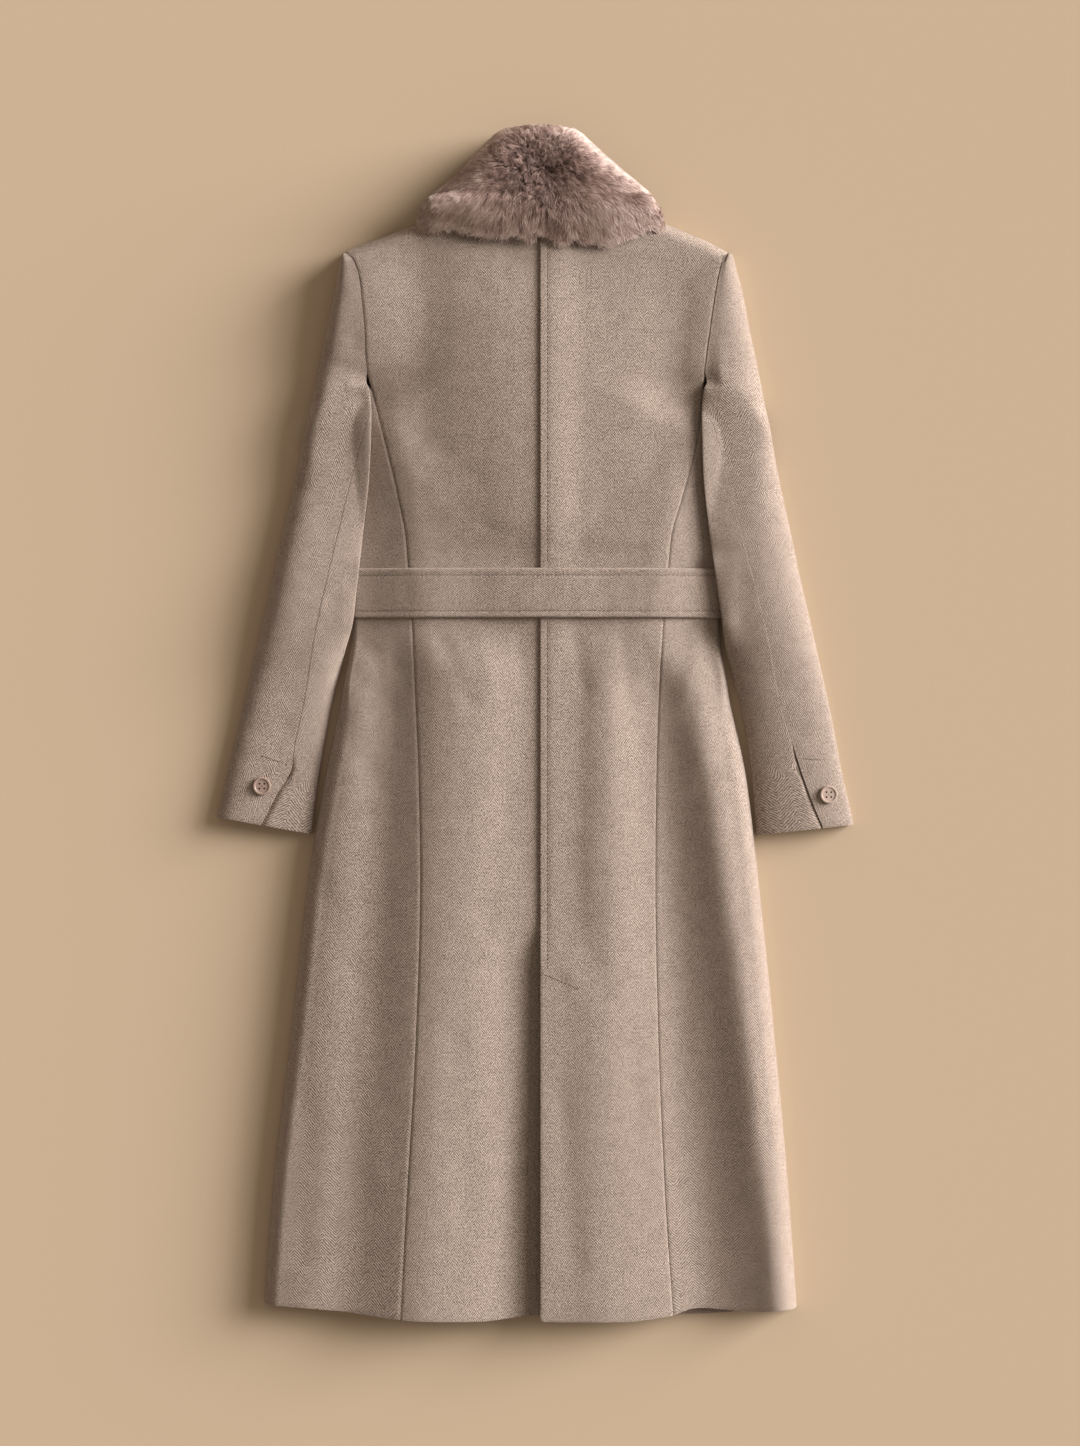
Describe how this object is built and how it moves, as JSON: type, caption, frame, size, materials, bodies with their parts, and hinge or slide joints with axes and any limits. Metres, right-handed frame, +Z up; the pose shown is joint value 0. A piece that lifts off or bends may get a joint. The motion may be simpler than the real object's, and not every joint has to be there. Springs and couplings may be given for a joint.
{
  "type": "belted coat",
  "caption": "Long belted wool coat with a fur collar, princess seams and a back vent, laid face down on a flat surface.",
  "frame": {"origin": "bottom centre of the overall box: on the surface that the coat lies on, under its middle", "axes": "+Y from the hem to the collar, +X to the right of the back as it is seen from above, +Z up out of the surface"},
  "size_m": [0.6705, 1.255, 0.0626],
  "materials": {
    "wool": "brushed melange twill",
    "fur": "long soft pile",
    "button": "satin"
  },
  "bodies": {
    "root": {"back_left": "wool", "back_right": "wool", "belt": "wool", "button_left": "button", "button_right": "button", "collar_back": "fur", "collar_front_left": "fur", "collar_front_right": "fur", "front_left": "wool", "front_right": "wool", "side_left": "wool", "side_right": "wool", "sleeve_top_left": "wool", "sleeve_top_right": "wool", "sleeve_under_left": "wool", "sleeve_under_right": "wool"}
  },
  "joints": []
}
